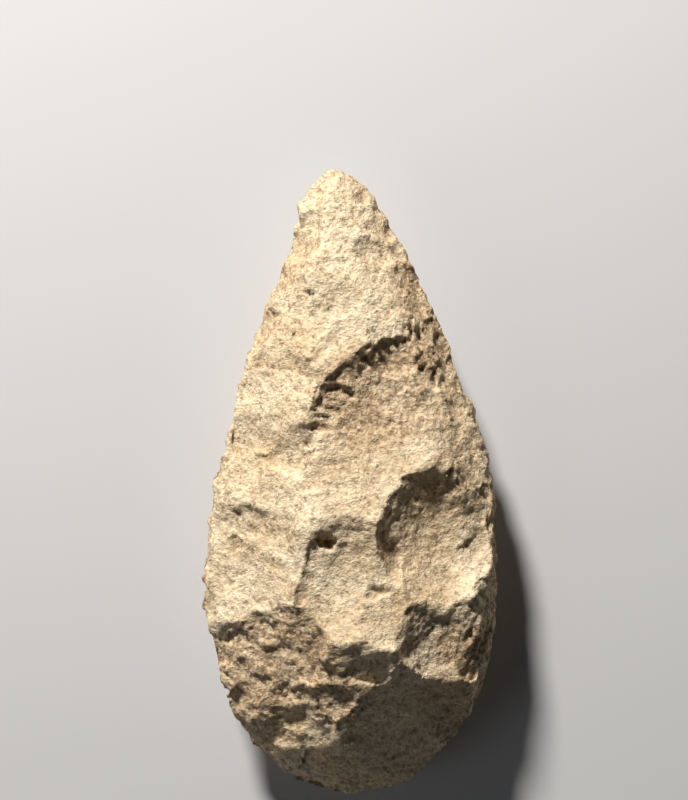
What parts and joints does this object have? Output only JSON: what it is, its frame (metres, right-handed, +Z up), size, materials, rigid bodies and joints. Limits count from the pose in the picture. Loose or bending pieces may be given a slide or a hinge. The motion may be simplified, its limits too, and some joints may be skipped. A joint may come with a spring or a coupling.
{
  "type": "stone hand axe",
  "caption": "Pear-shaped hand axe of coarse pale stone, flaked on both faces, with a pointed tip and a rounded heavy butt, lying flat.",
  "frame": {"origin": "on the surface the axe lies on, under the middle of its bounding box", "axes": "+Z up, through the front face; +Y along the length, towards the tip; +X to the right of the front face"},
  "size_m": [0.0932, 0.2, 0.0479],
  "materials": {
    "stone": "matt, granular, weathered buff to brown"
  },
  "bodies": {
    "root": {"hand_axe": "stone"}
  },
  "joints": []
}
